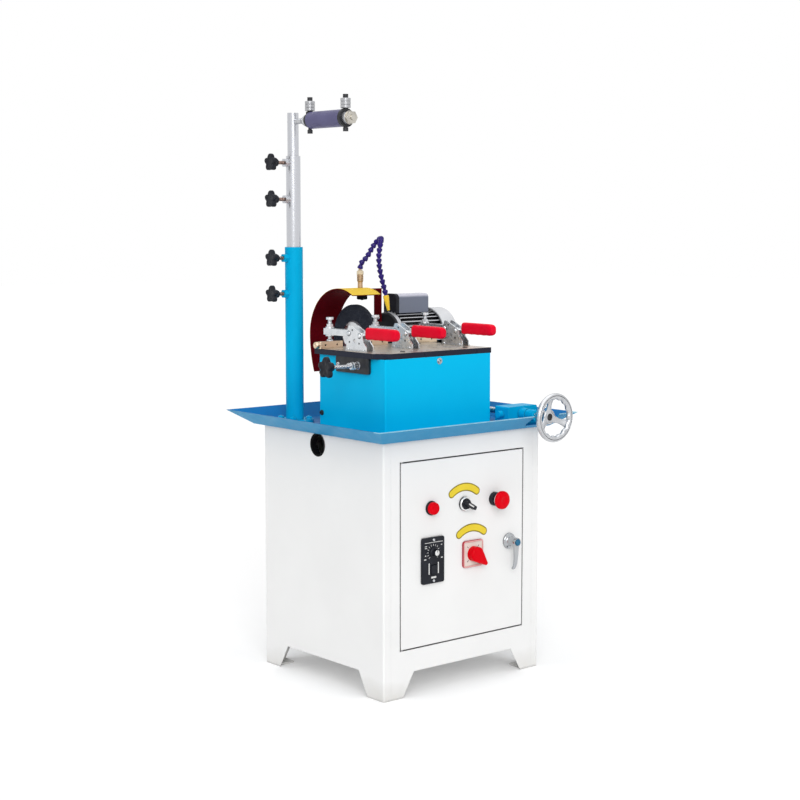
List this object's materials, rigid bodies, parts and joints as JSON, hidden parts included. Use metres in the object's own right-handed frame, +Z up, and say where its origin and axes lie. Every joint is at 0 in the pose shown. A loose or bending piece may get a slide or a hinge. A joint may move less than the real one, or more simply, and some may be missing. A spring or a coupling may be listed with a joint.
{
  "type": "band saw blade sharpener",
  "caption": "Coolant-fed grinder for band saw blades on a white sheet-steel cabinet, with toggle clamps, a motor head on a screw slide and a telescopic blade post.",
  "frame": {"origin": "on the floor under the middle of the cabinet's footprint", "axes": "+Z up, -Y towards the operator at the cabinet door, +X to the operator's right"},
  "size_m": [0.572, 0.568, 1.2676],
  "materials": {
    "cabinet_paint": "smooth powder coat",
    "blue_paint": "glossy sprayed enamel",
    "steel": "turned and lightly oiled",
    "zinc": "bright plated",
    "table_iron": "ground top, darkened edge",
    "rest_brass": "machined",
    "black_plastic": "moulded",
    "black_steel": "blackened",
    "red_plastic": "dipped vinyl and moulded caps",
    "grey_plastic": "moulded",
    "blue_plastic": "moulded",
    "motor_grey": "cast housing, grey enamel",
    "aluminium": "polished casting",
    "guard_yellow": "yellow outside, dark red inside",
    "wheel_abrasive": "coarse bonded grain",
    "hose_plastic": "moulded links",
    "nozzle_plastic": "moulded",
    "roller_plastic": "dark violet sleeve",
    "bronze": "worn"
  },
  "bodies": {
    "machine": {"cabinet_left_panel": "cabinet_paint", "cabinet_right_panel": "cabinet_paint", "cabinet_back_panel": "cabinet_paint", "cabinet_front_frame": "cabinet_paint", "cabinet_shelf": "cabinet_paint", "cabinet_top": "cabinet_paint", "drip_tray": "blue_paint", "coolant_tank": "grey_plastic", "coolant_pump": "black_steel", "head_box": "blue_paint", "work_table": "table_iron", "blade_rests": "rest_brass", "clamp_bases": "zinc", "adjuster_bracket": "black_steel", "post_lower_tube": "blue_paint", "slide_rail": "steel", "screw_beam": "blue_paint"},
    "door": {"door_panel": "cabinet_paint", "pilot_lamp": "red_plastic", "selector_ring": "grey_plastic", "estop_collar": "black_plastic", "cam_switch_plate": "grey_plastic", "speed_panel": "black_plastic"},
    "selector": {"selector_knob": "black_plastic"},
    "estop": {"estop_button": "red_plastic"},
    "cam_switch": {"cam_switch_knob": "red_plastic"},
    "speed_dial": {"speed_knob": "grey_plastic"},
    "rocker": {"rocker_switch": "black_plastic"},
    "handle": {"door_handle": "zinc"},
    "handle_lock": {"lock_button": "blue_plastic"},
    "grinding_head": {"infeed_carriage": "motor_grey", "motor_housing": "motor_grey", "motor_fan_cover": "aluminium", "capacitor_box": "motor_grey", "wheel_guard": "guard_yellow", "coolant_nipple": "bronze"},
    "rotor": {"arbor": "steel", "grinding_wheel": "wheel_abrasive"},
    "coolant_line": {"coolant_hose": "hose_plastic", "coolant_nozzle": "nozzle_plastic"},
    "infeed_screw": {"handwheel": "aluminium", "lead_screw": "steel"},
    "post_middle": {"post_middle_tube": "steel"},
    "post_upper": {"post_upper_tube": "steel", "roller_axle": "steel", "roller_collars": "black_steel"},
    "roller": {"guide_roller": "roller_plastic"},
    "bearings_rear": {"edge_bearings_rear": "steel"},
    "bearings_front": {"edge_bearings_front": "steel"},
    "adjuster": {"adjuster_knob": "black_plastic"},
    "post_screw_1": {"post_knob_1": "black_plastic"},
    "post_screw_2": {"post_knob_2": "black_plastic"},
    "post_screw_3": {"post_knob_3": "black_plastic"},
    "post_screw_4": {"post_knob_4": "black_plastic"},
    "clamp_1_arm": {"clamp_arm_1": "zinc"},
    "clamp_1_handle": {"clamp_handle_1": "red_plastic"},
    "clamp_2_arm": {"clamp_arm_2": "zinc"},
    "clamp_2_handle": {"clamp_handle_2": "red_plastic"},
    "clamp_3_arm": {"clamp_arm_3": "zinc"},
    "clamp_3_handle": {"clamp_handle_3": "red_plastic"}
  },
  "joints": [
    {"name": "door_hinge", "type": "hinge", "parent": "machine", "child": "door", "pos_m": [-0.173, -0.2055, 0.302], "axis": [0, 0, -1], "range_deg": [0, 110]},
    {"name": "handle_turn", "type": "hinge", "parent": "door", "child": "handle", "pos_m": [0.133, -0.2105, 0.299], "axis": [0, 1, 0], "range_deg": [0, 90]},
    {"name": "lock_press", "type": "slide", "parent": "handle", "child": "handle_lock", "axis": [0, 1, 0], "range_m": [0, 0.0025], "stiffness_N_per_m": 600},
    {"name": "selector_turn", "type": "hinge", "parent": "door", "child": "selector", "pos_m": [0, -0.2105, 0.397], "axis": [0, 1, 0], "range_deg": [0, 90]},
    {"name": "estop_press", "type": "slide", "parent": "door", "child": "estop", "axis": [0, 1, 0], "range_m": [0, 0.006], "stiffness_N_per_m": 1200},
    {"name": "cam_switch_turn", "type": "hinge", "parent": "door", "child": "cam_switch", "pos_m": [0.024, -0.2105, 0.285], "axis": [0, 1, 0], "range_deg": [-60, 60]},
    {"name": "speed_turn", "type": "hinge", "parent": "door", "child": "speed_dial", "pos_m": [-0.093, -0.2105, 0.304], "axis": [0, 1, 0], "range_deg": [-135, 135]},
    {"name": "rocker_tip", "type": "hinge", "parent": "door", "child": "rocker", "pos_m": [-0.092, -0.214, 0.266], "axis": [1, 0, 0], "range_deg": [-8, 8]},
    {"name": "head_infeed", "type": "slide", "parent": "machine", "child": "grinding_head", "axis": [0, 1, 0], "range_m": [-0.004, 0.03]},
    {"name": "handwheel_turn", "type": "hinge", "parent": "machine", "child": "infeed_screw", "pos_m": [0.192, -0.29, 0.575], "axis": [0, 1, 0], "range_deg": [-2165, 292]},
    {"name": "wheel_spin", "type": "hinge", "parent": "grinding_head", "child": "rotor", "pos_m": [0, 0.162, 0.735], "axis": [1, 0, 0], "continuous": true},
    {"name": "hose_swivel", "type": "hinge", "parent": "grinding_head", "child": "coolant_line", "pos_m": [0.014, 0.162, 0.8936], "axis": [0, 0, 1], "range_deg": [-20, 20]},
    {"name": "middle_tube_slide", "type": "slide", "parent": "machine", "child": "post_middle", "axis": [0, 0, 1], "range_m": [-0.085, 0.1]},
    {"name": "upper_tube_slide", "type": "slide", "parent": "post_middle", "child": "post_upper", "axis": [0, 0, 1], "range_m": [-0.055, 0.08]},
    {"name": "roller_spin", "type": "hinge", "parent": "post_upper", "child": "roller", "pos_m": [-0.17, 0.043, 1.218], "axis": [0, 1, 0], "continuous": true},
    {"name": "rear_bearings_spin", "type": "hinge", "parent": "post_upper", "child": "bearings_rear", "pos_m": [-0.17, 0.1055, 1.2488], "axis": [0, 0, 1], "continuous": true},
    {"name": "front_bearings_spin", "type": "hinge", "parent": "post_upper", "child": "bearings_front", "pos_m": [-0.17, -0.0195, 1.2488], "axis": [0, 0, 1], "continuous": true},
    {"name": "adjuster_turn", "type": "hinge", "parent": "machine", "child": "adjuster", "pos_m": [-0.2, -0.061, 0.694], "axis": [-1, 0, 0], "range_deg": [-720, 720]},
    {"name": "post_knob_1_turn", "type": "hinge", "parent": "post_middle", "child": "post_screw_1", "pos_m": [-0.2, 0.168, 1.128], "axis": [-1, 0, 0], "range_deg": [-360, 360]},
    {"name": "post_knob_2_turn", "type": "hinge", "parent": "post_middle", "child": "post_screw_2", "pos_m": [-0.2, 0.168, 1.048], "axis": [-1, 0, 0], "range_deg": [-360, 360]},
    {"name": "post_knob_3_turn", "type": "hinge", "parent": "machine", "child": "post_screw_3", "pos_m": [-0.2, 0.168, 0.919], "axis": [-1, 0, 0], "range_deg": [-360, 360]},
    {"name": "post_knob_4_turn", "type": "hinge", "parent": "machine", "child": "post_screw_4", "pos_m": [-0.2, 0.168, 0.84], "axis": [-1, 0, 0], "range_deg": [-360, 360]},
    {"name": "clamp_1_close", "type": "hinge", "parent": "machine", "child": "clamp_1_handle", "pos_m": [-0.151, -0.053, 0.756], "axis": [1, 0, 0], "range_deg": [-65, 0]},
    {"name": "clamp_1_swing", "type": "hinge", "parent": "machine", "child": "clamp_1_arm", "pos_m": [-0.151, -0.017, 0.76], "axis": [1, 0, 0], "range_deg": [0, 80.2]},
    {"name": "clamp_2_close", "type": "hinge", "parent": "machine", "child": "clamp_2_handle", "pos_m": [-0.022, -0.053, 0.756], "axis": [1, 0, 0], "range_deg": [-65, 0]},
    {"name": "clamp_2_swing", "type": "hinge", "parent": "machine", "child": "clamp_2_arm", "pos_m": [-0.022, -0.017, 0.76], "axis": [1, 0, 0], "range_deg": [0, 80.2]},
    {"name": "clamp_3_close", "type": "hinge", "parent": "machine", "child": "clamp_3_handle", "pos_m": [0.125, -0.053, 0.756], "axis": [1, 0, 0], "range_deg": [-65, 0]},
    {"name": "clamp_3_swing", "type": "hinge", "parent": "machine", "child": "clamp_3_arm", "pos_m": [0.125, -0.017, 0.76], "axis": [1, 0, 0], "range_deg": [0, 80.2]}
  ],
  "couplings": [
    {"joint": "handwheel_turn", "follows": "head_infeed", "rad_per_m": -1256.6},
    {"joint": "clamp_1_swing", "follows": "clamp_1_close", "ratio": -1.23},
    {"joint": "clamp_2_swing", "follows": "clamp_2_close", "ratio": -1.23},
    {"joint": "clamp_3_swing", "follows": "clamp_3_close", "ratio": -1.23}
  ]
}
